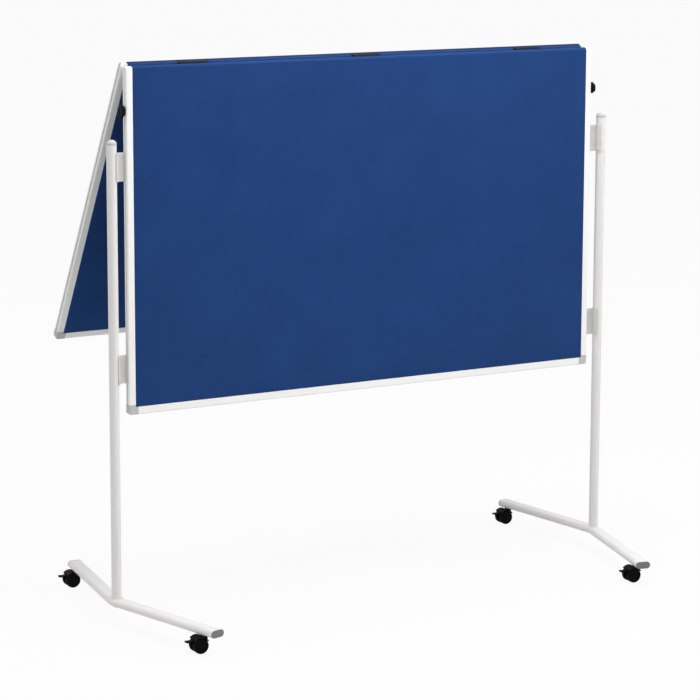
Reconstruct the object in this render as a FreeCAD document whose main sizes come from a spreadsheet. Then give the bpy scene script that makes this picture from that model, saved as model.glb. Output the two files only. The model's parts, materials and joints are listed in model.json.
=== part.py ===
# Folding mobile pinboard: two felt-covered halves hinged along their upper edges,
# hung between two round posts on V-shaped tube feet with twin-wheel swivel casters.
# Millimetres, +Z up, +Y towards the rear half. The row origin lies on the floor,
# in the middle of the whole object's box.

import FreeCAD, Part
import math
import os
import Sketcher

doc = FreeCAD.newDocument("Pinboard")
sheet = doc.addObject("Spreadsheet::Sheet", "Sizes")

# Driving sizes, in millimetres, degrees, counts and shares
driving = {
    # halves
    "board_width": 1200, "half_height": 755, "board_thickness": 18,
    "board_bottom": 461, "board_forward": 5, "open_angle": 29.9,
    "face_gap": 1, "edge_gap": 2,
    "side_rail_face": 15.5, "end_rail_face": 17, "rail_lip": 1, "rail_web": 1.5,
    "rail_round": 3, "groove_mouth": 5, "groove_width": 9.4, "groove_depth": 3,
    "groove_lip": 1.5, "felt_thickness": 1.5, "felt_rise": 0.6, "tuck_play": 0.5,
    "top_round": 6,
    "corner_arm": 22, "corner_round": 6, "corner_edge_round": 2,
    # fold hinges
    "hinge_pitch": 430, "hinge_count": 3, "knuckle_pitch": 14, "knuckle_gap": 0.4,
    "knuckle_radius": 3, "hinge_pin_radius": 1.5, "leaf_reach": 12.4,
    "leaf_thickness": 1.2, "leaf_screw_pitch": 24, "leaf_screw_count": 3,
    "leaf_screw_in": 9.2, "leaf_screw_radius": 1.6, "leaf_head_radius": 2.8,
    "leaf_head_depth": 0.9,
    # side locks
    "lock_knob_drop": 95, "lock_top_drop": 4, "slide_play": 0.3, "slide_below": 12,
    "knob_radius": 13, "knob_height": 8.2, "knob_collar_radius": 7,
    "knob_collar_height": 2.2, "knob_round": 1.6, "knob_lobe_count": 6,
    "knob_scallop_radius": 4.6, "knob_scallop_out": 15.2, "knob_recess_radius": 5,
    "knob_recess_depth": 1, "knob_stud_radius": 2.5,
    # posts
    "post_gap": 33, "post_radius": 11, "post_wall": 1.5, "post_over_bracket": 18,
    "cap_rim_over": 0.4, "cap_rim_height": 4, "cap_rise": 7, "cap_plug": 14,
    "plug_play": 0.1, "spigot_height": 40, "spigot_chamfer": 1.5,
    # brackets
    "upper_bracket_drop": 214, "lower_bracket_rise": 101, "bracket_height": 62,
    "flange_width": 12,
    "flange_thickness": 2, "web_thickness": 4, "web_rim": 9, "web_dish": 0.8,
    "saddle_thickness": 2.5, "saddle_angle": 62, "saddle_play": 0.05, "screw_turn": 42,
    "screw_spacing": 40, "screw_radius": 2, "screw_head_radius": 3.4,
    "screw_head_height": 2.2, "screw_grip": 2, "foot_play": 0.2,
    # feet
    "foot_width": 34, "foot_height": 16, "foot_wall": 1.5, "foot_lift": 47.5,
    "foot_bend": 60, "foot_corner_out": 1.5, "front_arm": 331, "back_arm": 330,
    "front_splay_angle": 15, "back_splay_angle": 8, "end_cap_thickness": 2,
    "end_cap_plug": 10, "bolt_radius": 4, "bolt_head_radius": 6.5, "bolt_head_height": 4.5,
    "bolt_play": 0.1,
    # casters
    "front_stem_inset": 40, "back_stem_inset": 16, "stem_radius": 3,
    "stem_collar_radius": 8, "stem_collar_height": 2,
    "stem_stud_radius": 4, "stem_stud_height": 13, "stem_reach": 16, "swivel_play": 0.05,
    "swivel_gap": 0.3, "wheel_radius": 17, "wheel_width": 10.4, "wheel_gap": 0.4,
    "wheel_round": 2.5, "wheel_inner_round": 1, "wheel_dish": 1.2, "wheel_rim": 4,
    "wheel_hub_radius": 5.5, "wheel_shell": 1.6, "trail": 14, "axle_radius": 2,
    "axle_play": 0.05, "hood_core": 9, "socket_half": 5, "socket_floor": 1,
    "axle_boss_radius": 6.5, "hood_gap": 0.9, "hood_skin": 1.8, "hood_slope": 4, "hood_start_angle": 44,
    "hood_end_angle": 150, "hood_disc_radius": 9, "hood_disc_height": 3.2,
    "pivot_out": 12.5, "pivot_up": 10, "pivot_boss_radius": 2.9, "trunnion_radius": 1.5,
    "fork_slot": 4.6, "lever_play": 0.3, "lever_start": 4, "lever_length": 18.5,
    "lever_width": 11, "lever_thickness": 3.2, "lever_round": 1.2,
    "left_back_trail_angle": 178, "left_front_trail_angle": 180,
    "right_back_trail_angle": 180, "right_front_trail_angle": 176,
    # how far a cut runs past the face that it opens
    "overrun": 1,
}


class Size:
    """A size with its value and the spreadsheet expression that it comes from."""

    def __init__(self, text, value):
        self.text = text
        self.value = float(value)

    def join(self, sign, other, value):
        return Size(f"({self.text} {sign} {as_size(other).text})", value)

    def __add__(self, other):
        return self.join("+", other, self.value + as_size(other).value)

    def __sub__(self, other):
        return self.join("-", other, self.value - as_size(other).value)

    def __mul__(self, other):
        return self.join("*", other, self.value * as_size(other).value)

    def __truediv__(self, other):
        return self.join("/", other, self.value / as_size(other).value)

    def __neg__(self):
        return Size(f"(-1 * {self.text})", -self.value)


def as_size(value):
    return value if isinstance(value, Size) else Size(repr(float(value)), value)


def sine(angle):
    return Size(f"sin({angle.text} * 1 deg)", math.sin(math.radians(angle.value)))


def cosine(angle):
    return Size(f"cos({angle.text} * 1 deg)", math.cos(math.radians(angle.value)))


def tangent(angle):
    return Size(f"tan({angle.text} * 1 deg)", math.tan(math.radians(angle.value)))


class Sizes:
    """The spreadsheet's cells as attributes."""


size = Sizes()
for row, (name, number) in enumerate(driving.items(), 1):
    sheet.set(f"A{row}", name)
    sheet.set(f"B{row}", str(number))
    sheet.setAlias(f"B{row}", name)
    setattr(size, name, Size("Sizes." + name, number))
doc.recompute()

pieces = {}


def bind(thing, path, amount):
    thing.setExpression(path, as_size(amount).text)


def keep(label, thing):
    """Give a finished sub-part its node name."""
    thing.Label = label
    pieces[label] = thing
    return thing


def new_body(name):
    return doc.addObject("PartDesign::Body", name)


def origin_feature(body, role):
    return next(item for item in body.Origin.OriginFeatures if item.Role == role)


def new_sketch(body, plane, lift=0, turn=None):
    """A sketch on one of the body's own planes, lifted along its normal and turned upright."""
    sketch = body.newObject("Sketcher::SketchObject", "Sketch")
    sketch.AttachmentSupport = [(origin_feature(body, plane + "_Plane"), "")]
    sketch.MapMode = "FlatFace"
    bind(sketch, "AttachmentOffset.Base.z", lift)
    if turn is not None:
        sketch.AttachmentOffset = FreeCAD.Placement(
            sketch.AttachmentOffset.Base, FreeCAD.Rotation(FreeCAD.Vector(0, 1, 0), 1))
        bind(sketch, "AttachmentOffset.Rotation.Angle", turn)
    return sketch


def constrain(sketch, kind, *where, amount):
    amount = as_size(amount)
    number = sketch.addConstraint(Sketcher.Constraint(kind, *where, amount.value))
    sketch.setExpression(f"Constraints[{number}]", amount.text)


def arc_between(start, end, radius):
    """The short arc between two points; a positive radius turns anticlockwise."""
    chord = end - start
    half = chord.Length / 2
    rise = math.sqrt(max(radius * radius - half * half, 0))
    side = FreeCAD.Vector(-chord.y, chord.x, 0).normalize() * math.copysign(rise, radius)
    centre = start + chord / 2 + side
    first, last = (start, end) if radius > 0 else (end, start)
    angle_a = math.atan2(first.y - centre.y, first.x - centre.x)
    angle_b = math.atan2(last.y - centre.y, last.x - centre.x)
    if angle_b < angle_a:
        angle_b += 2 * math.pi
    circle = Part.Circle(centre, FreeCAD.Vector(0, 0, 1), abs(radius))
    return Part.ArcOfCircle(circle, angle_a, angle_b)


def outline(sketch, points, closed=True):
    """Draw lines and arcs through points; a third entry is the radius of the arc that ends there."""
    places = [FreeCAD.Vector(as_size(p[0]).value, as_size(p[1]).value, 0) for p in points]
    first = sketch.GeometryCount
    count = len(points) if closed else len(points) - 1
    ends = []
    for step in range(count):
        start, goal = places[step], places[(step + 1) % len(points)]
        target = points[(step + 1) % len(points)]
        radius = as_size(target[2]) if len(target) > 2 else None
        if radius is None:
            sketch.addGeometry(Part.LineSegment(start, goal))
            ends.append((1, 2))
        else:
            sketch.addGeometry(arc_between(start, goal, radius.value))
            ends.append((1, 2) if radius.value > 0 else (2, 1))
    for step in range(count if closed else count - 1):
        after = (step + 1) % count
        sketch.addConstraint(Sketcher.Constraint(
            "Coincident", first + step, ends[step][1], first + after, ends[after][0]))
    for step in range(count + (not closed)):
        near = (first + step, ends[step][0]) if step < count else (first + count - 1, ends[-1][1])
        constrain(sketch, "DistanceX", *near, amount=points[step][0])
        constrain(sketch, "DistanceY", *near, amount=points[step][1])
    for step in range(count):
        target = points[(step + 1) % len(points)]
        if len(target) > 2:
            radius = as_size(target[2])
            constrain(sketch, "Radius", first + step, amount=radius if radius.value > 0 else -radius)


def rectangle(sketch, left, right, low, high):
    outline(sketch, [(left, low), (right, low), (right, high), (left, high)])


def circle(sketch, across, up, radius):
    number = sketch.GeometryCount
    centre = FreeCAD.Vector(as_size(across).value, as_size(up).value, 0)
    sketch.addGeometry(Part.Circle(centre, FreeCAD.Vector(0, 0, 1), radius.value))
    constrain(sketch, "DistanceX", number, 3, amount=across)
    constrain(sketch, "DistanceY", number, 3, amount=up)
    constrain(sketch, "Radius", number, amount=radius)


def oval(sketch, half_flat, radius):
    """A flat oval: two straight runs joined by half rounds, centred on the sketch."""
    outline(sketch, [(-half_flat, -radius, radius), (half_flat, -radius),
                     (half_flat + radius, 0, radius), (half_flat, radius, radius),
                     (-half_flat, radius), (-half_flat - radius, 0, radius)])


def pad(body, sketch, length, middle=False, backwards=False):
    feature = body.newObject("PartDesign::Pad", "Pad")
    feature.Profile = sketch
    feature.Midplane = middle
    feature.Reversed = backwards
    bind(feature, "Length", length)
    return feature


def pocket(body, sketch, length=None, middle=False, backwards=False):
    """Cut a sketch out of the body, against its normal, or all through in both ways."""
    doc.recompute()
    before = body.Shape.Volume
    feature = body.newObject("PartDesign::Pocket", "Pocket")
    feature.Profile = sketch
    feature.Midplane = middle
    feature.Reversed = backwards
    if length is None:
        feature.Type = "ThroughAll"
    else:
        bind(feature, "Length", length)
    doc.recompute()
    if not body.Shape.Volume < before:
        raise RuntimeError(f"a pocket of {body.Name} cuts nothing")
    return feature


def revolve(body, sketch, axis):
    """Turn a sketch once round its own upright (V_Axis) or level (H_Axis) axis."""
    feature = body.newObject("PartDesign::Revolution", "Revolution")
    feature.Profile = sketch
    feature.ReferenceAxis = (sketch, [axis])
    feature.Angle = 360
    return feature


def row_pattern(body, features, axis, pitch, count):
    pattern = body.newObject("PartDesign::LinearPattern", "Row")
    pattern.Originals = features
    pattern.Direction = (origin_feature(body, axis + "_Axis"), [""])
    pattern.Mode = "Spacing"
    bind(pattern, "Offset", pitch)
    bind(pattern, "Occurrences", count)
    body.Tip = pattern
    return pattern


def round_edges(body, radius, test):
    """Fillet the edges of the body whose ends and middle all pass a test."""
    doc.recompute()
    base = body.Tip
    names = [f"Edge{number}" for number, edge in enumerate(base.Shape.Edges, 1)
             if all(test(point) for point in
                    [edge.CenterOfMass] + [vertex.Point for vertex in edge.Vertexes])]
    feature = body.newObject("PartDesign::Fillet", "Fillet")
    feature.Base = (base, names)
    bind(feature, "Radius", radius)
    return feature


def place(thing, across=0, along=0, up=0, turn=0):
    """Set a piece down; along counts from the plane of the post axes."""
    thing.Placement = FreeCAD.Placement(FreeCAD.Vector(),
                                        FreeCAD.Rotation(FreeCAD.Vector(0, 0, 1), 1))
    bind(thing, "Placement.Base.x", across)
    bind(thing, "Placement.Base.y", as_size(along) + row_shift)
    bind(thing, "Placement.Base.z", up)
    bind(thing, "Placement.Rotation.Angle", turn)


def mirrored(source):
    """The same piece on the other side of the object."""
    twin = doc.addObject("Part::Mirroring", source.Name + "Twin")
    twin.Source = source
    twin.Normal = FreeCAD.Vector(1, 0, 0)
    return twin


def shifted(source, across=0, up=0):
    """A copy of a placed piece, moved by an offset."""
    copy = doc.addObject("App::Link", source.Name + "Copy")
    copy.LinkedObject = source
    copy.LinkTransform = True
    bind(copy, "Placement.Base.x", across)
    bind(copy, "Placement.Base.z", up)
    return copy


def group(label, members):
    compound = doc.addObject("Part::Compound", label)
    compound.Links = members
    return keep(label, compound)


# Places that several pieces share
half_width = size.board_width / 2
post_axis = half_width + size.post_gap
upper_bracket = size.board_bottom + size.half_height - size.upper_bracket_drop
lower_bracket = size.board_bottom + size.lower_bracket_rise
post_top = upper_bracket + size.bracket_height / 2 + size.post_over_bracket
fold_along = size.board_thickness - size.board_forward + size.face_gap
fold_up = size.board_bottom + size.half_height + size.edge_gap
mid_board = size.board_thickness / 2 - size.board_forward
panel_mid = -(size.face_gap + size.board_thickness / 2)
panel_face = -(size.face_gap + size.board_thickness)
panel_back = -size.face_gap
panel_top = -size.edge_gap
cover_thickness = size.felt_thickness + size.felt_rise
round_start = panel_top - size.top_round
core_top = panel_top - cover_thickness
panel_low = panel_top - size.half_height
rail_outer = size.groove_lip + size.groove_depth + size.rail_web
tucked_reach = half_width - rail_outer - size.tuck_play
seen_reach = half_width - size.side_rail_face - size.tuck_play
tucked_low = panel_low + rail_outer + size.tuck_play
seen_low = panel_low + size.end_rail_face + size.tuck_play
foot_top = size.foot_lift + size.foot_height / 2
foot_under = size.foot_lift - size.foot_height / 2

front_reach = ((size.front_arm + size.end_cap_thickness) * cosine(size.front_splay_angle)
               + size.foot_width / 2 * sine(size.front_splay_angle))
back_reach = (fold_along + size.rail_round
              + (size.edge_gap + size.half_height - size.rail_round) * sine(size.open_angle)
              + (size.face_gap + size.board_thickness - size.rail_round) * cosine(size.open_angle))
row_shift = (front_reach - back_reach) / 2


def hang(thing, half):
    """Place a piece of a half, drawn with the fold axis as its X axis and hanging down."""
    place(thing, along=fold_along, up=fold_up)
    if half == "rear":
        bind(thing, "Placement.Rotation.Axis.y", -sine(size.open_angle / 2))
        bind(thing, "Placement.Rotation.Axis.z", cosine(size.open_angle / 2))
        bind(thing, "Placement.Rotation.Angle", 180)


# Halves

def rail_section(face):
    """A rail's section: u runs outwards and ends at 0, v runs from face to back."""
    mouth, groove = size.groove_mouth / 2, size.groove_width / 2
    lip, floor = -size.groove_lip, -size.groove_lip - size.groove_depth
    corner = size.rail_round
    channel_face, channel_back = panel_face + size.rail_lip, panel_back - size.rail_lip
    return [(-face, panel_face), (-corner, panel_face), (0, panel_face + corner, corner),
            (0, panel_mid - mouth), (lip, panel_mid - mouth), (lip, panel_mid - groove),
            (floor, panel_mid - groove), (floor, panel_mid + groove), (lip, panel_mid + groove),
            (lip, panel_mid + mouth), (0, panel_mid + mouth), (0, panel_back - corner),
            (-corner, panel_back, corner), (-face, panel_back), (-face, channel_back),
            (-rail_outer, channel_back), (-rail_outer, channel_face), (-face, channel_face)]


def facing(points, side):
    """Points drawn for the face of a half, turned over for its back when asked."""
    if side == "face":
        return points
    return [(panel_mid * 2 - point[0], point[1], *[-radius for radius in point[2:]])
            for point in points]


def slab(body, first, last, reach, low):
    """A flat layer between two depths, up to where the top of the half starts to round."""
    sketch = new_sketch(body, "XZ", -last)
    rectangle(sketch, -reach, reach, low, round_start)
    pad(body, sketch, last - first)


def top_layer(body, points):
    """The rolled upper part of a layer, between the side rails."""
    sketch = new_sketch(body, "YZ")
    outline(sketch, points)
    pad(body, sketch, seen_reach * 2, middle=True)


def felt(half, side):
    """A felt covering: tucked under the rails, raised between them, rolled over the top."""
    body = new_body(f"{half}_{side}_felt")
    plane = panel_face + size.rail_lip
    front, inner = plane - size.felt_rise, plane + size.felt_thickness
    depths = [(plane, inner), (front, inner)]
    if side == "back":
        depths = [(panel_mid * 2 - high, panel_mid * 2 - low) for low, high in depths]
    slab(body, *depths[0], tucked_reach, tucked_low)
    slab(body, *depths[1], seen_reach, seen_low)
    round_end = front + size.top_round
    top_layer(body, facing([(front, round_start, size.top_round), (inner, round_start),
                            (round_end, core_top, cover_thickness - size.top_round),
                            (round_end, panel_top)], side))
    hang(body, half)
    return keep(f"{half}_{side}_felt", body)


def core(half):
    """The soft fibreboard inside, rounded along the top as the felt is."""
    body = new_body(half + "_core")
    front = panel_face + size.rail_lip + size.felt_thickness
    back = panel_mid * 2 - front
    bend = size.top_round - cover_thickness
    slab(body, front, back, tucked_reach, tucked_low)
    top_layer(body, [(front, round_start, bend), (back, round_start),
                     (back - bend, core_top, bend), (front + bend, core_top)])
    hang(body, half)
    return keep(half + "_core", body)


def round_top(body, near, far):
    """Cut the upper edges of a piece round, between two places across the half."""
    sketch = new_sketch(body, "YZ", far)
    bend, past = size.top_round, size.overrun
    corner = [(panel_face - past, panel_top + past), (panel_face - past, round_start),
              (panel_face, round_start), (panel_face + bend, panel_top, -bend),
              (panel_face + bend, panel_top + past)]
    outline(sketch, facing(corner, "face"))
    outline(sketch, facing(corner, "back"))
    pocket(body, sketch, far - near)


def side_rail(half):
    body = new_body(half + "_side_rail")
    low = panel_low + size.corner_arm
    sketch = new_sketch(body, "XY", low)
    outline(sketch, [(half_width + point[0], *point[1:]) for point in
                     rail_section(size.side_rail_face)])
    pad(body, sketch, panel_top - low)
    round_top(body, half_width - size.side_rail_face - size.overrun, half_width + size.overrun)
    hang(body, half)
    return body


def top_plug(half):
    """The moulded plug that closes the upper end of a side rail's channel."""
    body = new_body(half + "_top_plug")
    inner, outer = half_width - size.side_rail_face, half_width - rail_outer - size.plug_play
    sketch = new_sketch(body, "YZ", inner)
    play = size.rail_lip + size.plug_play
    rectangle(sketch, panel_face + play, panel_back - play, round_start, panel_top)
    pad(body, sketch, outer - inner)
    round_top(body, inner - size.overrun, outer + size.overrun)
    hang(body, half)
    return body


def end_rail(half):
    body = new_body(half + "_end_rail")
    sketch = new_sketch(body, "YZ")
    outline(sketch, [(point[1], panel_low - point[0], *point[2:]) for point in
                     rail_section(size.end_rail_face)])
    pad(body, sketch, size.board_width - size.corner_arm * 2, middle=True)
    hang(body, half)
    return keep(half + "_end_rail", body)


def corner_cap(half):
    """The moulded elbow where the side rail and the end rail meet."""
    body = new_body(half + "_corner_cap")
    sketch = new_sketch(body, "XZ", -panel_mid)
    arm, bend = size.corner_arm, size.corner_round
    outline(sketch, [(half_width - arm, panel_low), (half_width - bend, panel_low),
                     (half_width, panel_low + bend, bend), (half_width, panel_low + arm),
                     (half_width - size.side_rail_face, panel_low + arm),
                     (half_width - size.side_rail_face, panel_low + size.end_rail_face),
                     (half_width - arm, panel_low + size.end_rail_face)])
    pad(body, sketch, size.board_thickness, middle=True)
    outer_round = size.corner_edge_round
    reach, low = half_width.value, panel_low.value
    inside = rail_outer.value

    def on_outer_edge(point):
        on_face = abs(abs(point.y - panel_mid.value) - size.board_thickness.value / 2)
        return on_face < inside / 1000 and (point.x > reach - inside or point.z < low + inside)

    round_edges(body, outer_round, on_outer_edge)
    channel = new_sketch(body, "XZ", -panel_mid)
    rectangle(channel, half_width - arm - size.overrun, half_width - rail_outer,
              panel_low + rail_outer, panel_low + arm + size.overrun)
    pocket(body, channel, size.board_thickness - size.rail_lip * 2, middle=True)
    hang(body, half)
    return body


def hinge_places():
    return [size.hinge_pitch * (number - (driving["hinge_count"] - 1) / 2)
            for number in range(driving["hinge_count"])]


def leaf_screw_places():
    return [size.leaf_screw_pitch * (number - (driving["leaf_screw_count"] - 1) / 2)
            for number in range(driving["leaf_screw_count"])]


def edge_strip(half):
    """The dark strip between the two felts along the hinge edge, under the hinge leaves."""
    body = new_body(half + "_edge_strip")
    sketch = new_sketch(body, "XY", core_top)
    edge = panel_face + size.rail_lip - size.felt_rise + size.top_round
    rectangle(sketch, -seen_reach, seen_reach, edge, panel_mid * 2 - edge)
    pad(body, sketch, cover_thickness)
    holes = new_sketch(body, "XY", panel_top)
    for middle in hinge_places():
        for offset in leaf_screw_places():
            circle(holes, middle + offset, -size.leaf_screw_in,
                   size.leaf_screw_radius + size.plug_play)
    pocket(body, holes)
    hang(body, half)
    return keep(half + "_edge_strip", body)


def make_half(half):
    near, far = ("right", "left") if half == "front" else ("left", "right")
    core(half)
    felt(half, "face")
    felt(half, "back")
    rail = keep(f"{half}_{near}_rail", side_rail(half))
    keep(f"{half}_{far}_rail", mirrored(rail))
    end_rail(half)
    cap, plug = corner_cap(half), top_plug(half)
    group(half + "_corner_caps", [cap, mirrored(cap), plug, mirrored(plug)])
    edge_strip(half)


# Fold hinges

def hinge_leaf(half, first_knuckle, knuckle_count):
    """A flat leaf on the hinge edge, with its own knuckles curled round the pin."""
    body = new_body(half + "_leaf")
    plate = new_sketch(body, "XY", panel_top)
    end = size.knuckle_pitch * 2.5 - size.knuckle_gap / 2
    clear = size.knuckle_radius + size.knuckle_gap
    rectangle(plate, -end, end, -size.leaf_reach, -clear)
    pad(body, plate, size.leaf_thickness)
    start = size.knuckle_pitch * first_knuckle
    barrel = new_sketch(body, "YZ", start)
    circle(barrel, 0, 0, size.knuckle_radius)
    curl = pad(body, barrel, size.knuckle_pitch - size.knuckle_gap, middle=True)
    strap = new_sketch(body, "YZ", start)
    rectangle(strap, -clear - size.knuckle_gap, 0, panel_top, panel_top + size.leaf_thickness)
    tab = pad(body, strap, size.knuckle_pitch - size.knuckle_gap, middle=True)
    row_pattern(body, [curl, tab], "X", size.knuckle_pitch * 2, knuckle_count)
    bore = new_sketch(body, "YZ")
    circle(bore, 0, 0, size.hinge_pin_radius + size.axle_play)
    pocket(body, bore, middle=True)
    holes = new_sketch(body, "XY", panel_top + size.leaf_thickness)
    sinks = new_sketch(body, "XY", panel_top + size.leaf_thickness)
    for offset in leaf_screw_places():
        circle(holes, offset, -size.leaf_screw_in, size.leaf_screw_radius + size.plug_play)
        circle(sinks, offset, -size.leaf_screw_in, size.leaf_head_radius + size.plug_play)
    pocket(body, holes)
    pocket(body, sinks, size.leaf_head_depth)
    hang(body, half)
    return group(f"hinge_{half}_leaves", spread_along(body))


def spread_along(body):
    """One copy of a hinge piece for each hinge."""
    return [shifted(body, across=middle) for middle in hinge_places()]


def hinge_pins():
    body = new_body("hinge_pin")
    sketch = new_sketch(body, "YZ")
    circle(sketch, 0, 0, size.hinge_pin_radius)
    pad(body, sketch, size.knuckle_pitch * 5, middle=True)
    hang(body, "front")
    group("hinge_pins", spread_along(body))


def hinge_screws(half):
    """Flat-headed screws, sunk into the leaves, through the edge strip to the core."""
    body = new_body(half + "_hinge_screw")
    sketch = new_sketch(body, "XZ", size.leaf_screw_in)
    top = panel_top + size.leaf_thickness
    under = top - size.leaf_head_depth
    outline(sketch, [(0, core_top), (size.leaf_screw_radius, core_top),
                     (size.leaf_screw_radius, under), (size.leaf_head_radius, under),
                     (size.leaf_head_radius, top), (0, top)])
    screw = revolve(body, sketch, "V_Axis")
    doc.recompute()
    offset = leaf_screw_places()[0]
    bind(sketch, "AttachmentOffset.Base.x", offset)
    row_pattern(body, [screw], "X", size.leaf_screw_pitch, driving["leaf_screw_count"])
    hang(body, half)
    group(f"hinge_{half}_screws", spread_along(body))


# Side locks

knob_up = size.board_bottom + size.half_height - size.lock_knob_drop
cavity_floor = half_width - size.groove_lip - size.groove_depth
cavity_roof = half_width - size.groove_lip


def lock_bar():
    """A T-shaped bar in the side rail's groove; its upper end slides into the rear half's."""
    body = new_body("right_lock_bar")
    low = knob_up - size.slide_below
    high = size.board_bottom + size.half_height - size.lock_top_drop
    sketch = new_sketch(body, "XY", low)
    head = size.groove_width / 2 - size.slide_play
    neck = size.groove_mouth / 2 - size.slide_play
    inner, shoulder = cavity_floor + size.slide_play, cavity_roof - size.slide_play
    outline(sketch, [(inner, mid_board - head), (shoulder, mid_board - head),
                     (shoulder, mid_board - neck), (half_width, mid_board - neck),
                     (half_width, mid_board + neck), (shoulder, mid_board + neck),
                     (shoulder, mid_board + head), (inner, mid_board + head)])
    pad(body, sketch, high - low)
    tips = new_sketch(body, "YZ", half_width)
    past = size.overrun
    for way in (1, -1):
        outline(tips, [(mid_board + head * way, high - head), (mid_board + neck * way, high),
                       (mid_board + neck * way, high + past),
                       (mid_board + (head + past) * way, high + past),
                       (mid_board + (head + past) * way, high - head)])
    pocket(body, tips, size.groove_lip + size.groove_depth)
    bore = new_sketch(body, "YZ")
    circle(bore, mid_board, knob_up, size.knob_stud_radius + size.plug_play)
    pocket(body, bore, backwards=True)
    place(body)
    keep("right_lock_bar", body)
    keep("left_lock_bar", mirrored(body))


def lock_knob():
    """A star grip, turned about X, with its threaded stud in the sliding block."""
    body = new_body("right_lock_knob")
    sketch = new_sketch(body, "XZ")
    seat = size.slide_play
    collar = seat + size.knob_collar_height
    top = collar + size.knob_height
    bend, rim = size.knob_round, size.knob_radius
    stud_end = cavity_floor + size.slide_play - half_width
    outline(sketch, [(stud_end, 0), (top - size.knob_recess_depth, 0),
                     (top - size.knob_recess_depth, size.knob_recess_radius),
                     (top, size.knob_recess_radius), (top, rim - bend),
                     (top - bend, rim, bend), (collar + bend, rim), (collar, rim - bend, bend),
                     (collar, size.knob_collar_radius), (seat, size.knob_collar_radius),
                     (seat, size.knob_stud_radius), (stud_end, size.knob_stud_radius)])
    revolve(body, sketch, "H_Axis")
    scallop = new_sketch(body, "YZ", top + size.overrun)
    circle(scallop, size.knob_scallop_out, 0, size.knob_scallop_radius)
    cut = pocket(body, scallop, size.knob_height + size.overrun * 2)
    lobes = body.newObject("PartDesign::PolarPattern", "Lobes")
    lobes.Originals = [cut]
    lobes.Axis = (origin_feature(body, "X_Axis"), [""])
    lobes.Angle = 360
    bind(lobes, "Occurrences", size.knob_lobe_count)
    body.Tip = lobes
    place(body, across=half_width, along=mid_board, up=knob_up)
    keep("right_lock_knob", body)
    keep("left_lock_knob", mirrored(body))


# Posts, brackets and their fasteners

bracket_ups = (upper_bracket, lower_bracket)
screw_offsets = (-size.screw_spacing / 2, size.screw_spacing / 2)
saddle_inner = size.post_radius + size.saddle_play
saddle_outer = saddle_inner + size.saddle_thickness


def post():
    body = new_body("right_post")
    sketch = new_sketch(body, "XY", foot_top)
    circle(sketch, 0, 0, size.post_radius)
    circle(sketch, 0, 0, size.post_radius - size.post_wall)
    pad(body, sketch, post_top - foot_top)
    holes = new_sketch(body, "YZ", turn=-size.screw_turn)
    for middle in bracket_ups:
        for offset in screw_offsets:
            circle(holes, 0, middle + offset, size.screw_radius + size.plug_play)
    pocket(body, holes, size.post_radius + size.overrun)
    place(body, across=post_axis)
    keep("right_post", body)
    keep("left_post", mirrored(body))


def post_caps():
    body = new_body("post_cap")
    sketch = new_sketch(body, "XZ")
    rim, rise = size.post_radius + size.cap_rim_over, size.cap_rise
    plug = size.post_radius - size.post_wall - size.plug_play
    shoulder = post_top + size.cap_rim_height
    dome = (rim * rim + rise * rise) / (rise * 2)
    outline(sketch, [(0, post_top - size.cap_plug), (plug, post_top - size.cap_plug),
                     (plug, post_top), (rim, post_top), (rim, shoulder),
                     (0, shoulder + rise, dome)])
    revolve(body, sketch, "V_Axis")
    place(body, across=post_axis)
    group("post_caps", [body, mirrored(body)])


def post_spigots():
    body = new_body("post_spigot")
    sketch = new_sketch(body, "XZ")
    outer = size.post_radius - size.post_wall - size.plug_play
    bore, top = size.bolt_radius + size.bolt_play, foot_top + size.spigot_height
    cut = size.spigot_chamfer
    outline(sketch, [(bore, foot_top), (outer, foot_top), (outer, top - cut),
                     (outer - cut, top), (bore, top)])
    revolve(body, sketch, "V_Axis")
    place(body, across=post_axis)
    group("post_spigots", [body, mirrored(body)])


def foot_bolts():
    body = new_body("foot_bolt")
    sketch = new_sketch(body, "XZ")
    tip = foot_top + size.spigot_height - size.bolt_radius
    head = foot_under - size.bolt_head_height
    outline(sketch, [(0, head), (size.bolt_head_radius - size.overrun, head),
                     (size.bolt_head_radius, head + size.overrun),
                     (size.bolt_head_radius, foot_under), (size.bolt_radius, foot_under),
                     (size.bolt_radius, tip), (0, tip)])
    revolve(body, sketch, "V_Axis")
    place(body, across=post_axis)
    group("foot_bolts", [body, mirrored(body)])


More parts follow.
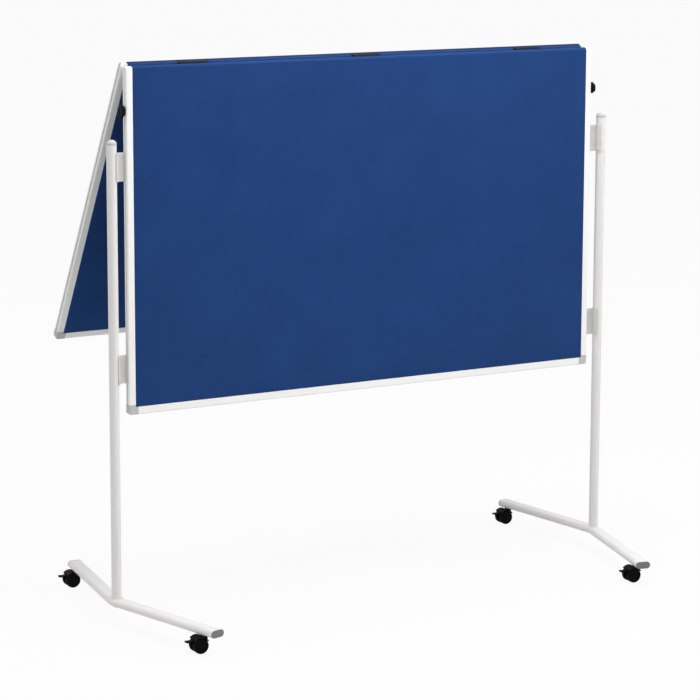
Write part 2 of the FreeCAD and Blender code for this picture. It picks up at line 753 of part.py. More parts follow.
def brackets():
    """A foot in the rail's groove, a flange on it, a web, and a saddle that hugs the post."""
    body = new_body("bracket")
    high, flange_out = size.bracket_height, half_width + size.flange_thickness
    foot_head = size.groove_width / 2 - size.foot_play
    foot_neck = size.groove_mouth / 2 - size.foot_play
    inner, shoulder = cavity_floor + size.foot_play, cavity_roof - size.foot_play
    half_flange, half_web = size.flange_width / 2, size.web_thickness / 2
    web_end = post_axis - saddle_inner - size.saddle_thickness / 5
    section = [(inner, foot_head), (shoulder, foot_head), (shoulder, foot_neck),
               (half_width, foot_neck), (half_width, half_flange), (flange_out, half_flange),
               (flange_out, half_web), (web_end, half_web)]
    plate = new_sketch(body, "XY")
    outline(plate, [(across, mid_board - along) for across, along in section]
            + [(across, mid_board + along) for across, along in reversed(section)])
    pad(body, plate, high, middle=True)
    for edge, way in ((half_web, 1), (-half_web, -1)):
        dish = new_sketch(body, "XZ", -(mid_board + edge))
        rectangle(dish, flange_out, post_axis - saddle_outer + size.web_dish,
                  size.web_rim - high / 2, high / 2 - size.web_rim)
        pocket(body, dish, size.web_dish, backwards=way > 0)
    saddle = new_sketch(body, "XY")
    out, side = cosine(size.saddle_angle), sine(size.saddle_angle)
    outline(saddle, [(post_axis - saddle_outer * out, saddle_outer * side),
                     (post_axis - saddle_outer * out, -saddle_outer * side, saddle_outer),
                     (post_axis - saddle_inner * out, -saddle_inner * side),
                     (post_axis - saddle_inner * out, saddle_inner * side, -saddle_inner)])
    pad(body, saddle, high, middle=True)
    holes = new_sketch(body, "YZ", post_axis, turn=-size.screw_turn)
    for offset in screw_offsets:
        circle(holes, 0, offset, size.screw_radius + size.plug_play)
    pocket(body, holes, saddle_outer + size.overrun)
    place(body)
    pair = group("right_brackets", [shifted(body, up=middle) for middle in bracket_ups])
    keep("left_brackets", mirrored(pair))


def post_screws():
    """Round-headed screws through the saddles, in the rear flank of each post."""
    body = new_body("post_screw")
    sketch = new_sketch(body, "XZ")
    seat, bend = -saddle_outer, size.screw_head_height / 2
    head = seat - size.screw_head_height
    tip = size.post_wall + size.screw_grip - size.post_radius
    outline(sketch, [(tip, 0), (tip, size.screw_radius), (seat, size.screw_radius),
                     (seat, size.screw_head_radius), (seat - bend, size.screw_head_radius),
                     (head, size.screw_head_radius - bend, bend), (head, 0)])
    revolve(body, sketch, "H_Axis")
    place(body, across=post_axis, turn=-size.screw_turn)
    right = doc.addObject("Part::Compound", "RightPostScrews")
    right.Links = [shifted(body, up=middle + offset)
                   for middle in bracket_ups for offset in screw_offsets]
    group("post_screws", [right, mirrored(right)])


# Feet

oval_flat = (size.foot_width - size.foot_height) / 2
arms = {
    "front": (size.front_arm, -sine(size.front_splay_angle), -cosine(size.front_splay_angle)),
    "back": (size.back_arm, -sine(size.back_splay_angle), cosine(size.back_splay_angle)),
}


def along_arm(end, distance):
    """A point on an arm's centre line, from the corner of the foot, beside the post."""
    length, across, along = arms[end]
    return size.foot_corner_out + across * distance, along * distance


def foot():
    """A flat-oval tube, bent in the plan, with a hole for the post bolt and the stems."""
    body = new_body("right_foot")
    spine = new_sketch(body, "XY", size.foot_lift)
    tangent_run = size.foot_bend * tangent((size.front_splay_angle + size.back_splay_angle) / 2)
    bend_end = along_arm("back", tangent_run)
    outline(spine, [along_arm("front", size.front_arm), along_arm("front", tangent_run),
                    (*bend_end, size.foot_bend), along_arm("back", size.back_arm)], closed=False)
    start = along_arm("front", size.front_arm)
    section = new_sketch(body, "XZ", -start[1], turn=-size.front_splay_angle)
    bind(section, "AttachmentOffset.Base.x", start[0])
    bind(section, "AttachmentOffset.Base.y", size.foot_lift)
    oval(section, oval_flat, size.foot_height / 2)
    oval(section, oval_flat, size.foot_height / 2 - size.foot_wall)
    doc.recompute()
    tube = body.newObject("PartDesign::AdditivePipe", "Tube")
    tube.Profile = section
    tube.Spine = (spine, ["Edge1", "Edge2", "Edge3"])
    bolt_hole = new_sketch(body, "XY", size.foot_lift)
    circle(bolt_hole, 0, 0, size.bolt_radius + size.bolt_play)
    pocket(body, bolt_hole, middle=True)
    stem_holes = new_sketch(body, "XY", size.foot_lift)
    for end in arms:
        circle(stem_holes, *stem_place(end), size.stem_stud_radius + size.bolt_play)
    pocket(body, stem_holes, size.foot_height)
    place(body, across=post_axis)
    keep("right_foot", body)
    keep("left_foot", mirrored(body))


def stem_place(end):
    return along_arm(end, arms[end][0] - getattr(size, end + "_stem_inset"))


def foot_end_caps():
    """Oval plugs in the open ends of the foot tubes."""
    caps = []
    turns = {"front": -size.front_splay_angle, "back": size.back_splay_angle + 180}
    for end in arms:
        body = new_body(end + "_end_cap")
        plug = new_sketch(body, "XZ")
        oval(plug, oval_flat, size.foot_height / 2 - size.foot_wall - size.plug_play)
        pad(body, plug, size.end_cap_plug, backwards=True)
        disc = new_sketch(body, "XZ")
        oval(disc, oval_flat, size.foot_height / 2)
        pad(body, disc, size.end_cap_thickness)
        across, along = along_arm(end, arms[end][0])
        place(body, across + post_axis, along, size.foot_lift, turns[end])
        caps += [body, mirrored(body)]
    group("foot_end_caps", caps)


# Casters

axle_up = size.wheel_radius
hood_top = foot_under - size.stem_collar_height - size.swivel_gap
stem_low = hood_top - size.stem_reach
wheel_inner = size.hood_core / 2 + size.wheel_gap
axle_half = wheel_inner + size.wheel_width - size.wheel_shell
pivot_across = size.trail + size.pivot_out
pivot_high = axle_up + size.pivot_up


def caster_spots():
    """Each caster's name, its stem on the floor plan and the way its wheels trail."""
    spots = {}
    for side in ("left", "right"):
        for end in arms:
            across, along = stem_place(end)
            across = across + post_axis
            turn = getattr(size, f"{side}_{end}_trail_angle")
            spots[f"{side}_{end}"] = (across if side == "right" else -across, along, turn)
    return spots


def caster_stems():
    stems = []
    for name, (across, along, turn) in caster_spots().items():
        body = new_body(name + "_stem")
        sketch = new_sketch(body, "XZ")
        collar = foot_under - size.stem_collar_height
        outline(sketch, [(0, stem_low), (size.stem_radius, stem_low),
                         (size.stem_radius, collar), (size.stem_collar_radius, collar),
                         (size.stem_collar_radius, foot_under),
                         (size.stem_stud_radius, foot_under),
                         (size.stem_stud_radius, foot_under + size.stem_stud_height),
                         (0, foot_under + size.stem_stud_height)])
        revolve(body, sketch, "V_Axis")
        place(body, across, along)
        stems.append(body)
    group("caster_stems", stems)


def caster_hood(label, across, along, turn):
    """The moulded body: socket, axle boss, arched hood and the fork of the brake lever."""
    body = new_body(label)
    core = new_sketch(body, "XZ")
    socket, boss = size.socket_half, size.axle_boss_radius
    fork = size.pivot_boss_radius
    outline(core, [(-socket, axle_up), (size.trail, axle_up - boss),
                   (pivot_across, pivot_high - fork), (pivot_across + fork, pivot_high, fork),
                   (pivot_across, pivot_high + fork, fork),
                   (pivot_across - fork, hood_top - size.hood_slope), (socket, hood_top),
                   (-socket, hood_top)])
    pad(body, core, size.hood_core, middle=True)
    arch = new_sketch(body, "XZ")
    inner = size.wheel_radius + size.hood_gap
    outer = inner + size.hood_skin
    first, last = size.hood_start_angle, size.hood_end_angle
    outline(arch, [(size.trail + outer * cosine(first), axle_up + outer * sine(first)),
                   (size.trail + outer * cosine(last), axle_up + outer * sine(last), outer),
                   (size.trail + inner * cosine(last), axle_up + inner * sine(last)),
                   (size.trail + inner * cosine(first), axle_up + inner * sine(first),
                    -inner)])
    pad(body, arch, (wheel_inner + size.wheel_width) * 2, middle=True)
    disc = new_sketch(body, "XY", hood_top)
    circle(disc, 0, 0, size.hood_disc_radius)
    pad(body, disc, size.hood_disc_height, backwards=True)
    bore = new_sketch(body, "XY", hood_top)
    circle(bore, 0, 0, size.stem_radius + size.swivel_play)
    pocket(body, bore, size.stem_reach + size.socket_floor)
    axle_bore = new_sketch(body, "XZ")
    circle(axle_bore, size.trail, axle_up, size.axle_radius + size.axle_play)
    circle(axle_bore, pivot_across, pivot_high, size.trunnion_radius + size.axle_play)
    pocket(body, axle_bore, middle=True)
    slot = new_sketch(body, "XZ")
    back = pivot_across - fork - size.lever_play
    rectangle(slot, back, pivot_across + fork + size.overrun,
              pivot_high - fork - size.pivot_boss_radius, pivot_high + fork + size.overrun)
    pocket(body, slot, size.fork_slot, middle=True)
    place(body, across, along, 0, turn)
    return keep(label, body)


def from_swivel(spot, distance):
    """A point on the caster's trailing line, at a distance from its swivel axis."""
    across, along, turn = spot
    return across + distance * cosine(turn), along + distance * sine(turn)


def caster_wheel(label, spot, turn):
    """A dished twin wheel; its blind bore hides the end of the axle."""
    body = new_body(label)
    sketch = new_sketch(body, "XY")
    near, far, tyre = wheel_inner, wheel_inner + size.wheel_width, size.wheel_radius
    bore, blind = size.axle_radius + size.axle_play, far - size.wheel_shell + size.wheel_gap
    dish, rim = far - size.wheel_dish, tyre - size.wheel_rim
    soft, small = size.wheel_round, size.wheel_inner_round
    outline(sketch, [(bore, near), (tyre - small, near), (tyre, near + small, small),
                     (tyre, far - soft), (tyre - soft, far, soft), (rim, far),
                     (rim - size.wheel_dish, dish), (size.wheel_hub_radius, dish),
                     (size.wheel_hub_radius - size.wheel_gap, far - size.wheel_gap),
                     (0, far - size.wheel_gap), (0, blind), (bore, blind)])
    revolve(body, sketch, "V_Axis")
    across, along = from_swivel(spot, size.trail)
    place(body, across, along, axle_up, turn)
    return keep(label, body)


def caster_axle(label, spot):
    body = new_body(label)
    sketch = new_sketch(body, "XZ")
    circle(sketch, 0, 0, size.axle_radius)
    pad(body, sketch, axle_half * 2, middle=True)
    across, along = from_swivel(spot, size.trail)
    place(body, across, along, axle_up, spot[2])
    return keep(label, body)


def caster_lever(label, spot):
    """The brake pedal, with a tongue in the hood's fork and moulded trunnions."""
    body = new_body(label)
    eye = new_sketch(body, "XZ")
    ring = size.pivot_boss_radius - size.lever_play
    start, thick = size.lever_start, size.lever_thickness / 2
    outline(eye, [(0, -ring, ring), (start + size.lever_round, -thick),
                  (start + size.lever_round, thick), (0, ring), (-ring, 0, ring)])
    pad(body, eye, size.fork_slot - size.lever_play * 2, middle=True)
    pin = new_sketch(body, "XZ")
    circle(pin, 0, 0, size.trunnion_radius)
    pad(body, pin, size.hood_core, middle=True)
    pedal = new_sketch(body, "XZ")
    end, bend = size.lever_length, size.lever_round
    outline(pedal, [(start, -thick), (end - bend, -thick), (end, -thick + bend, bend),
                    (end, thick - bend), (end - bend, thick, bend), (start, thick)])
    pad(body, pedal, size.lever_width, middle=True)
    across, along = from_swivel(spot, pivot_across)
    place(body, across, along, pivot_high, spot[2])
    return keep(label, body)


def casters():
    caster_stems()
    for name, spot in caster_spots().items():
        caster_hood(name + "_caster_hood", *spot)
        caster_axle(name + "_caster_axle", spot)
        caster_wheel(name + "_caster_wheel_1", spot, spot[2])
        caster_wheel(name + "_caster_wheel_2", spot, spot[2] + 180)
        caster_lever(name + "_caster_lever", spot)


# The whole object

make_half("front")
make_half("rear")
hinge_leaf("front", -2, 3)
hinge_leaf("rear", -1, 2)
hinge_pins()
hinge_screws("front")
hinge_screws("rear")
lock_bar()
lock_knob()
post()
post_caps()
post_spigots()
foot_bolts()
brackets()
post_screws()
foot()
foot_end_caps()
casters()
doc.recompute()

for thing in doc.Objects:
    if "Invalid" in thing.State or "Error" in thing.State:
        raise RuntimeError(f"{thing.Name} of {thing.Label} is {thing.State}")
for label, thing in pieces.items():
    if thing.Shape.isNull() or not thing.Shape.isValid():
        raise RuntimeError(f"{label} has no valid shape")

os.makedirs("parts", exist_ok=True)
for label, thing in pieces.items():
    thing.Shape.exportStep(f"parts/{label}.step")
print(len(pieces), "nodes,", sum(len(thing.Shape.Solids) for thing in pieces.values()), "solids")
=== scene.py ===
import json
import math

import bmesh
import bpy
from mathutils import Matrix, Vector, noise


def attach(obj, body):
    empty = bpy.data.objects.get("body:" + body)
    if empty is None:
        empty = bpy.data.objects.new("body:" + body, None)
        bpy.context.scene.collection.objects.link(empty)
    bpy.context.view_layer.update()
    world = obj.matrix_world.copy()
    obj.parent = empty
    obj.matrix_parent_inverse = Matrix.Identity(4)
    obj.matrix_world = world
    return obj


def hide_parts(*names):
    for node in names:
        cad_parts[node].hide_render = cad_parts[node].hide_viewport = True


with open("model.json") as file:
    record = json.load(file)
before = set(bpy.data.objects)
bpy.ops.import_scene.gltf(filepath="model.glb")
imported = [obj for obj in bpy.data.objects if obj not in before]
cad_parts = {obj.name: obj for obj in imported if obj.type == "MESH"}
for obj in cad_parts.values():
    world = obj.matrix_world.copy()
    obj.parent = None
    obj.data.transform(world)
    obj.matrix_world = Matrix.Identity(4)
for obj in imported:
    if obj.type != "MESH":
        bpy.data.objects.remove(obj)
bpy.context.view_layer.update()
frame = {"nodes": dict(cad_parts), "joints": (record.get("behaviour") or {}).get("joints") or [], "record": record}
nodes = frame["nodes"]
scene = bpy.context.scene
scene.view_settings.view_transform = "Standard"
print("pinboard: the model is loaded,", len(nodes), "nodes")


# Camera and studio

cameraSetup = {
    "place": (-2.9225, -5.0734, 1.6660),  # left of the board and in front of it
    "turn": 29.73,                        # degrees from the rear direction towards the right
    "tilt": -9.48,
    "roll": 0.18,
    "lens": 133.96,
    "sensor": 36,
    "shift": -0.09,                       # small, so that the other views keep the object
    "farthest": 200,
}


def addCamera(setup):
    turn, tilt, roll = (math.radians(setup[key]) for key in ("turn", "tilt", "roll"))
    ahead = Vector((math.sin(turn) * math.cos(tilt), math.cos(turn) * math.cos(tilt),
                    math.sin(tilt)))
    level = Vector((math.cos(turn), -math.sin(turn), 0))
    upright = level.cross(ahead)
    right = level * math.cos(roll) + upright * math.sin(roll)
    up = upright * math.cos(roll) - level * math.sin(roll)
    data = bpy.data.cameras.new("camera")
    data.lens, data.sensor_width = setup["lens"], setup["sensor"]
    data.shift_y = setup["shift"]
    data.clip_end = setup["farthest"]
    camera = bpy.data.objects.new("camera", data)
    axes = Matrix((right, up, -ahead)).transposed().to_4x4()
    camera.matrix_world = Matrix.Translation(setup["place"]) @ axes
    scene.collection.objects.link(camera)
    scene.camera = camera


studioSetup = {
    "floorSize": 90.0,
    "floorColour": (0.66, 0.66, 0.65, 1),
    "floorGlow": 0.92,  # how much of the white the camera sees; the rest shows the shadow
    "white": (1, 1, 1, 1),
    "whiteStrength": 1,
    "fillTop": 0.92, "fillSide": 0.33, "fillLow": 0.42,  # the world's light by direction
}

softboxes = {
    "key": {"place": (6.2, -3.4, 2.9), "aim": (0.0, 0.0, 0.8), "size": (2.4, 2.4),
            "power": 130},
    "near": {"place": (0.30, -1.0, 2.0), "aim": (-0.4, 0.0, 1.0), "size": (1.0, 0.5),
             "power": 11},
    "left": {"place": (-4.0, -2.4, 1.2), "aim": (-0.6, 0.2, 0.8), "size": (1.2, 1.2),
             "power": 14},
    "over": {"place": (0.0, 0.0, 3.6), "aim": (0.0, 0.0, 0.0), "size": (2.4, 2.4),
             "power": 62},
}


def backgroundRays(tree):  # 1 for rays that show the background, 0 for rays that carry light
    path = tree.nodes.new("ShaderNodeLightPath")
    cameraOrGloss = tree.nodes.new("ShaderNodeMath")
    cameraOrGloss.operation = "MAXIMUM"
    everyKind = tree.nodes.new("ShaderNodeMath")
    everyKind.operation = "MAXIMUM"
    tree.links.new(path.outputs["Is Camera Ray"], cameraOrGloss.inputs[0])
    tree.links.new(path.outputs["Is Glossy Ray"], cameraOrGloss.inputs[1])
    tree.links.new(cameraOrGloss.outputs[0], everyKind.inputs[0])
    tree.links.new(path.outputs["Is Transmission Ray"], everyKind.inputs[1])
    return path, everyKind.outputs[0]


def mixByRay(tree, seen, plain, white, outputKind):
    mix = tree.nodes.new("ShaderNodeMixShader")
    out = tree.nodes.new(outputKind)
    tree.links.new(seen, mix.inputs["Fac"])
    tree.links.new(plain.outputs[0], mix.inputs[1])
    tree.links.new(white.outputs[0], mix.inputs[2])
    tree.links.new(mix.outputs[0], out.inputs["Surface"])


def addWhite(tree, kind, setup):
    white = tree.nodes.new(kind)
    white.inputs["Color"].default_value = setup["white"]
    white.inputs["Strength"].default_value = setup["whiteStrength"]
    return white


def addWorld(setup):
    world = bpy.data.worlds.new("studio")
    scene.world = world
    world.use_nodes = True
    tree = world.node_tree
    tree.nodes.clear()
    where = tree.nodes.new("ShaderNodeTexCoord")
    parts = tree.nodes.new("ShaderNodeSeparateXYZ")
    ramp = tree.nodes.new("ShaderNodeValToRGB")
    height = tree.nodes.new("ShaderNodeMapRange")  # from straight down to straight up
    height.inputs["From Min"].default_value = -1
    ramp.color_ramp.elements.new(0.5)  # the horizon
    for stop, key in zip(ramp.color_ramp.elements, ("fillLow", "fillSide", "fillTop")):
        stop.color = (setup[key], setup[key], setup[key], 1)
    fill = tree.nodes.new("ShaderNodeBackground")
    tree.links.new(where.outputs["Generated"], parts.inputs[0])
    tree.links.new(parts.outputs["Z"], height.inputs["Value"])
    tree.links.new(height.outputs[0], ramp.inputs["Fac"])
    tree.links.new(ramp.outputs["Color"], fill.inputs["Color"])
    white = addWhite(tree, "ShaderNodeBackground", setup)
    mixByRay(tree, backgroundRays(tree)[1], fill, white, "ShaderNodeOutputWorld")


def addFloor(setup):
    half = setup["floorSize"] / 2
    mesh = bpy.data.meshes.new("floor")
    mesh.from_pydata([(-half, -half, 0), (half, -half, 0), (half, half, 0), (-half, half, 0)],
                     [], [(0, 1, 2, 3)])
    floor = bpy.data.objects.new("floor", mesh)
    scene.collection.objects.link(floor)
    material = bpy.data.materials.new("floor")
    material.use_nodes = True
    tree = material.node_tree
    tree.nodes.clear()
    matt = tree.nodes.new("ShaderNodeBsdfDiffuse")
    matt.inputs["Color"].default_value = setup["floorColour"]
    glow = addWhite(tree, "ShaderNodeEmission", setup)
    # reflections see plain white, the camera sees white with the object's shadow in it
    path, seen = backgroundRays(tree)
    share = tree.nodes.new("ShaderNodeMapRange")
    share.inputs["To Min"].default_value = 1
    share.inputs["To Max"].default_value = setup["floorGlow"]
    only = tree.nodes.new("ShaderNodeMath")
    only.operation = "MULTIPLY"
    tree.links.new(path.outputs["Is Camera Ray"], share.inputs["Value"])
    tree.links.new(seen, only.inputs[0])
    tree.links.new(share.outputs[0], only.inputs[1])
    mixByRay(tree, only.outputs[0], matt, glow, "ShaderNodeOutputMaterial")
    mesh.materials.append(material)


def addSoftbox(name, look):
    data = bpy.data.lights.new(name, "AREA")
    data.shape = "RECTANGLE"
    data.size, data.size_y = look["size"]
    data.energy = look["power"]
    lamp = bpy.data.objects.new(name, data)
    lamp.location = look["place"]
    aim = Vector(look["aim"]) - Vector(look["place"])
    lamp.rotation_euler = aim.to_track_quat("-Z", "Y").to_euler()
    scene.collection.objects.link(lamp)


addCamera(cameraSetup)
addWorld(studioSetup)
addFloor(studioSetup)
for softboxName, look in softboxes.items():
    addSoftbox(softboxName, look)
print("pinboard: camera and studio are ready")


# Materials

noiseMiddle = (0.3, 0.7)  # where nearly all values of the noise texture lie


def newMaterial(name, colour, roughness):
    material = bpy.data.materials.new(name)
    material.use_nodes = True
    shader = material.node_tree.nodes["Principled BSDF"]
    shader.inputs["Base Color"].default_value = (*colour, 1)
    shader.inputs["Roughness"].default_value = roughness
    return material, material.node_tree, shader


def addNoise(tree, scale, detail, rough=0.55, bend=0.0):
    where = tree.nodes.new("ShaderNodeTexCoord")
    texture = tree.nodes.new("ShaderNodeTexNoise")
    for key, number in (("Scale", scale), ("Detail", detail), ("Roughness", rough),
                        ("Distortion", bend)):
        texture.inputs[key].default_value = number
    tree.links.new(where.outputs["Object"], texture.inputs["Vector"])
    return texture.outputs["Fac"]


def spreadRange(tree, value, limits):
    node = tree.nodes.new("ShaderNodeMapRange")
    for key, number in (("From Min", noiseMiddle[0]), ("From Max", noiseMiddle[1]),
                        ("To Min", limits[0]), ("To Max", limits[1])):
        node.inputs[key].default_value = number
    tree.links.new(value, node.inputs["Value"])
    return node.outputs[0]


def blendColours(tree, value, dark, light, places=noiseMiddle):
    ramp = tree.nodes.new("ShaderNodeValToRGB")
    for stop, place, colour in zip(ramp.color_ramp.elements, places, (dark, light)):
        stop.position = place
        stop.color = (*colour, 1)
    tree.links.new(value, ramp.inputs["Fac"])
    return ramp.outputs["Color"]


def multiplyColours(tree, first, second):
    node = tree.nodes.new("ShaderNodeMix")
    node.data_type, node.blend_type = "RGBA", "MULTIPLY"
    node.inputs["Factor"].default_value = 1
    tree.links.new(first, node.inputs["A"])
    tree.links.new(second, node.inputs["B"])
    return node.outputs["Result"]


def addBump(tree, shader, height, depth, strength, under=None):
    node = tree.nodes.new("ShaderNodeBump")
    node.inputs["Distance"].default_value = depth
    node.inputs["Strength"].default_value = strength
    tree.links.new(height, node.inputs["Height"])
    if under is not None:
        tree.links.new(under, node.inputs["Normal"])
    tree.links.new(node.outputs[0], shader.inputs["Normal"])
    return node.outputs[0]


feltLook = {
    "light": (0.0190, 0.0622, 0.214), "dark": (0.0104, 0.0388, 0.142),  # fibre tops, pile
    "tuftLight": (1.06, 1.05, 1.04), "tuftDark": (0.88, 0.9, 0.92),     # times the colour
    "cloudLight": (1.0, 1.0, 1.0), "cloudDark": (0.86, 0.88, 0.90),     # times the colour
    "fibre": {"scale": 620.0, "detail": 5, "rough": 0.7, "bend": 1.6},
    "clump": {"scale": 150.0, "detail": 3, "bend": 0.8},
    "cloud": {"scale": 9.0, "detail": 2},
    "fibreDepth": 0.0004, "fibreStrength": 0.35,
    "clumpDepth": 0.0008, "clumpStrength": 0.21,
    "roughness": 0.95, "shine": 0.08,
    "sheen": 0.10, "sheenRoughness": 0.45, "sheenTint": (0.35, 0.55, 1.0, 1),
}


def makeFelt(name, look):
    material, tree, shader = newMaterial(name, look["light"], look["roughness"])
    fibre = addNoise(tree, **look["fibre"])
    clump = addNoise(tree, **look["clump"])
    cloud = addNoise(tree, **look["cloud"])
    pile = blendColours(tree, fibre, look["dark"], look["light"])
    tufts = blendColours(tree, clump, look["tuftDark"], look["tuftLight"])
    shade = blendColours(tree, cloud, look["cloudDark"], look["cloudLight"])
    colour = multiplyColours(tree, multiplyColours(tree, pile, tufts), shade)
    tree.links.new(colour, shader.inputs["Base Color"])
    soft = addBump(tree, shader, clump, look["clumpDepth"], look["clumpStrength"])
    addBump(tree, shader, fibre, look["fibreDepth"], look["fibreStrength"], soft)
    shader.inputs["Sheen Weight"].default_value = look["sheen"]
    shader.inputs["Sheen Roughness"].default_value = look["sheenRoughness"]
    shader.inputs["Sheen Tint"].default_value = look["sheenTint"]
    shader.inputs["Specular IOR Level"].default_value = look["shine"]
    return material


paintFinish = {
    "patch": {"scale": 14, "detail": 3},
    "tint": 0.99,                            # times the colour, where the coat is thin
    "spread": (0.96, 1.05),                  # times the roughness, from low to high
    "surface": {"scale": 160, "detail": 1},  # the orange peel
    "depth": 0.0001, "shine": 0.5,
}

paintLooks = {  # powder coat: colour, gloss, and how strongly its orange peel shows
    "rail_lacquer": {"colour": (0.86, 0.86, 0.85), "roughness": 0.50, "relief": 0.015},
    "white_tube": {"colour": (0.74, 0.73, 0.72), "roughness": 0.34, "relief": 0.015},
    "bracket_alloy": {"colour": (0.60, 0.59, 0.575), "roughness": 0.42, "relief": 0.12},
    # dark_steel: its dark navy colour is painted shade, standing in for the shaded groove between the halves where
    # the hinge leaves sit
    "dark_steel": {"colour": (0.010, 0.015, 0.036), "roughness": 0.55, "relief": 0.10,
                   "shine": 0.1},
}


def addSurface(tree, shader, look):
    relief = addNoise(tree, **look["surface"])
    shader.inputs["Specular IOR Level"].default_value = look["shine"]
    addBump(tree, shader, relief, look["depth"], look["relief"])


def addRoughness(tree, shader, value, look):
    limits = [look["roughness"] * factor for factor in look["spread"]]
    tree.links.new(spreadRange(tree, value, limits), shader.inputs["Roughness"])


def makePaint(name, look):
    look = {**paintFinish, **look}
    material, tree, shader = newMaterial(name, look["colour"], look["roughness"])
    patch = addNoise(tree, **look["patch"])
    thin = tuple(part * look["tint"] for part in look["colour"])
    tree.links.new(blendColours(tree, patch, thin, look["colour"]),
                   shader.inputs["Base Color"])
    addRoughness(tree, shader, patch, look)
    addSurface(tree, shader, look)
    return material


plasticFinish = {
    "wear": {"scale": 60, "detail": 5, "rough": 0.65}, "wearPlaces": (0.45, 0.75),
    "tint": 1.16, "lift": 0.001,  # times the colour and added to it, where it is rubbed
    "spread": (0.85, 1.2),        # times the roughness, from low to high
    "depth": 0.0001, "shine": 0.5,
}

plasticLooks = {  # mouldings: colour, gloss, and the grain of the mould
    # navy_edging: its own navy colour, darkened further as painted shade of the groove between the halves
    "navy_edging": {"colour": (0.008, 0.015, 0.048), "roughness": 0.6,
                    "grain": 1300, "relief": 0.2, "shine": 0.1},
    "grey_moulding": {"colour": (0.47, 0.47, 0.46), "roughness": 0.45,
                      "grain": 1100, "relief": 0.15},
    "dark_grey_moulding": {"colour": (0.15, 0.15, 0.15), "roughness": 0.42,
                           "grain": 1100, "relief": 0.2},
    "black_moulding": {"colour": (0.003, 0.003, 0.0032), "roughness": 0.5,
                       "grain": 1500, "relief": 0.25, "shine": 0.06},
    "black_tyre": {"colour": (0.0025, 0.0025, 0.0025), "roughness": 0.65,
                   "grain": 900, "relief": 0.3, "shine": 0.05},
}


def makePlastic(name, look):
    look = {**plasticFinish, **look}
    look["surface"] = {"scale": look["grain"], "detail": 3, "rough": 0.6}
    material, tree, shader = newMaterial(name, look["colour"], look["roughness"])
    wear = addNoise(tree, **look["wear"])
    rubbed = tuple(part * look["tint"] + look["lift"] for part in look["colour"])
    tree.links.new(blendColours(tree, wear, look["colour"], rubbed, look["wearPlaces"]),
                   shader.inputs["Base Color"])
    addRoughness(tree, shader, wear, look)
    addSurface(tree, shader, look)
    return material


steelLook = {
    "colour": (0.62, 0.63, 0.64), "roughness": 0.3, "spread": (0.8, 1.4), "tint": 0.86,
    "spangle": {"scale": 700.0, "detail": 2},
}


def makeSteel(name, look):
    material, tree, shader = newMaterial(name, look["colour"], look["roughness"])
    shader.inputs["Metallic"].default_value = 1.0
    spangle = addNoise(tree, **look["spangle"])
    dull = tuple(part * look["tint"] for part in look["colour"])
    tree.links.new(blendColours(tree, spangle, dull, look["colour"]),
                   shader.inputs["Base Color"])
    addRoughness(tree, shader, spangle, look)
    return material


coreLook = {
    "light": (0.42, 0.31, 0.19), "dark": (0.27, 0.19, 0.11), "roughness": 0.95,
    "shred": {"scale": 420, "detail": 5, "rough": 0.7, "bend": 2.0},
    "depth": 0.0004, "relief": 0.5,
}


def makeCore(name, look):
    material, tree, shader = newMaterial(name, look["light"], look["roughness"])
    shred = addNoise(tree, **look["shred"])
    tree.links.new(blendColours(tree, shred, look["dark"], look["light"]),
                   shader.inputs["Base Color"])
    addBump(tree, shader, shred, look["depth"], look["relief"])
    return material


materials = {"blue_felt": makeFelt("blueFelt", feltLook),
             "zinc_steel": makeSteel("zinc_steel", steelLook),
             "fibre_core": makeCore("fibre_core", coreLook)}
for slotName, look in paintLooks.items():
    materials[slotName] = makePaint(slotName, look)
for slotName, look in plasticLooks.items():
    materials[slotName] = makePlastic(slotName, look)

slotOfNode = {entry["node"]: entry["material_slot"] for entry in frame["record"]["subparts"]}


def dress(piece, slotName):
    piece.data.materials.clear()
    piece.data.materials.append(materials[slotName])


for nodeName, piece in nodes.items():
    dress(piece, slotOfNode[nodeName])
print("pinboard: every node has its finish")


# Halves

halfBodies = {"front": "stand", "rear": "rear_half"}
foldJoint = next(joint for joint in frame["joints"] if joint["name"] == "fold")
foldPlace = Vector(foldJoint["pos_m"])
openAngle = math.radians(-foldJoint["range_deg"][0])
halfPlaces = {
    "front": Matrix.Translation(foldPlace),
    "rear": Matrix.Translation(foldPlace) @ Matrix.Rotation(
        math.pi, 4, Vector((0, -math.sin(openAngle / 2), math.cos(openAngle / 2)))),
}

feltCover = {  # a half's own frame: the fold axis is X, the half hangs down, its face is at -Y
    "tuckedHalfWidth": 0.5935, "tuckedLow": -0.7505, "tuckedDepth": -0.018,  # under the rails
    "halfWidth": 0.584, "low": -0.739, "depth": -0.0186,                     # between them
    "coreDepth": -0.0165, "middle": -0.010,
    "roundStart": -0.008, "roundRadius": 0.006, "roundSteps": 8,  # over the upper edge
    "edge": 0.0016, "edgeDrop": 0.0006,                           # how it dips at the rails
    "edgeSteps": (0, 0.15, 0.35, 0.65, 1.0), "step": 0.028,       # where its mesh lines lie
    "crown": 0.00015, "ripple": 0.00012, "rippleScale": 9,        # how it stands out elsewhere
    "frontSeed": 3.1, "rearSeed": 8.7, "faceSeed": 1.9, "backSeed": 6.3,
}


def spacedLines(low, high, cover):  # close together at the ends, wide apart between
    edge = cover["edge"]
    inside = high - low - 2 * edge
    count = max(2, round(inside / cover["step"]))
    inner = [low + edge + inside * k / count for k in range(1, count)]
    first = [low + edge * part for part in cover["edgeSteps"]]
    last = [high - edge * part for part in reversed(cover["edgeSteps"])]
    return first + inner + last


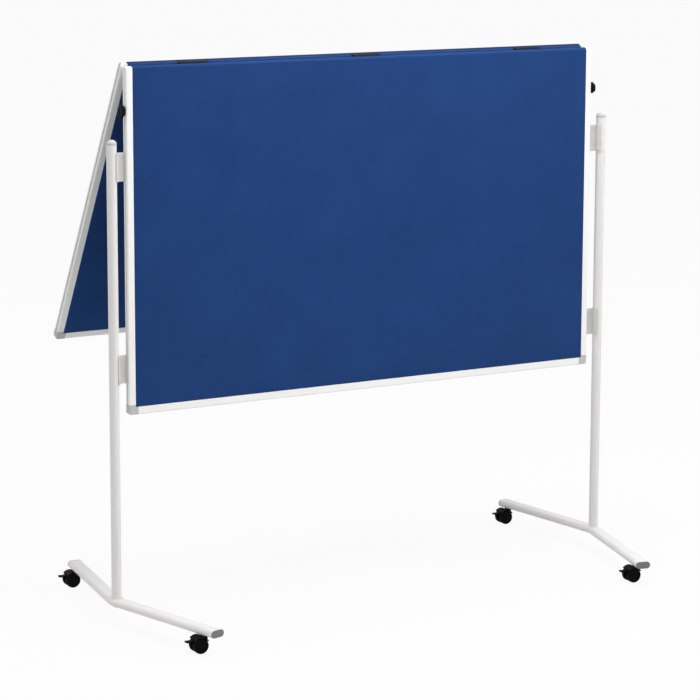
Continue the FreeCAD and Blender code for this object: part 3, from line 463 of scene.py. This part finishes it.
def coverSection(cover):  # closed: depth, height, and the way it swells outwards
    radius = cover["roundRadius"]
    centre = (cover["depth"] + radius, cover["roundStart"])
    outer = [(cover["depth"], height, -1, 0)
             for height in spacedLines(cover["low"], cover["roundStart"], cover)]
    turns = [math.pi / 2 * k / cover["roundSteps"] for k in range(cover["roundSteps"] + 1)]
    for turn in turns[1:]:
        outer.append((centre[0] - radius * math.cos(turn), centre[1] + radius * math.sin(turn),
                      -math.cos(turn), math.sin(turn)))
    bend = radius - (cover["coreDepth"] - cover["depth"])
    inner = [(centre[0] - bend * math.cos(turn), centre[1] + bend * math.sin(turn), 0, 0)
             for turn in reversed(turns)]
    return outer + inner + [(cover["coreDepth"], cover["low"], 0, 0)]


def joinLoops(work, first, second):
    for k in range(len(first)):
        after = (k + 1) % len(first)
        work.faces.new((first[k], first[after], second[after], second[k]))


def makeFeltCover(half, side, cover):
    section = coverSection(cover)
    wide, edge = cover["halfWidth"], cover["edge"]
    seed = Vector((cover[half + "Seed"], 0, cover[side + "Seed"]))

    def swell(x, height):  # how far the cover stands out of its plane
        near = min(wide - abs(x), height - cover["low"], edge) / edge
        place = Vector((x * cover["rippleScale"], 0, height * cover["rippleScale"]))
        ripple = noise.noise(place + seed) * cover["ripple"]
        return math.sin(near * math.pi / 2) * (cover["edgeDrop"] + cover["crown"] + ripple) \
            - cover["edgeDrop"]

    work = bmesh.new()
    loops = []
    for x in spacedLines(-wide, wide, cover):
        loops.append([work.verts.new((x, depth + outY * swell(x, height),
                                      height + outZ * swell(x, height)))
                      for depth, height, outY, outZ in section])
    for first, second in zip(loops, loops[1:]):
        joinLoops(work, first, second)
    work.faces.new(loops[0])
    work.faces.new(loops[-1])
    reach, low, high = cover["tuckedHalfWidth"], cover["tuckedLow"], cover["roundStart"]
    tucked = [[work.verts.new((x, depth, height))
               for x, height in ((-reach, low), (reach, low), (reach, high), (-reach, high))]
              for depth in (cover["tuckedDepth"], cover["coreDepth"])]
    work.faces.new(tucked[0])
    work.faces.new(tucked[1])
    joinLoops(work, *tucked)
    if side == "back":
        for vertex in work.verts:
            vertex.co.y = cover["middle"] * 2 - vertex.co.y
    bmesh.ops.recalc_face_normals(work, faces=work.faces)
    mesh = bpy.data.meshes.new(f"{half}_{side}_cover")
    work.to_mesh(mesh)
    work.free()
    for face in mesh.polygons:
        face.use_smooth = len(face.vertices) == 4
    piece = bpy.data.objects.new(mesh.name, mesh)
    scene.collection.objects.link(piece)
    mesh.transform(halfPlaces[half])
    dress(piece, "blue_felt")
    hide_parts(f"{half}_{side}_felt")
    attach(piece, halfBodies[half])


for half in halfBodies:
    for side in ("face", "back"):
        makeFeltCover(half, side, feltCover)
print("pinboard: the four felt covers are made")

print("pinboard: finished")
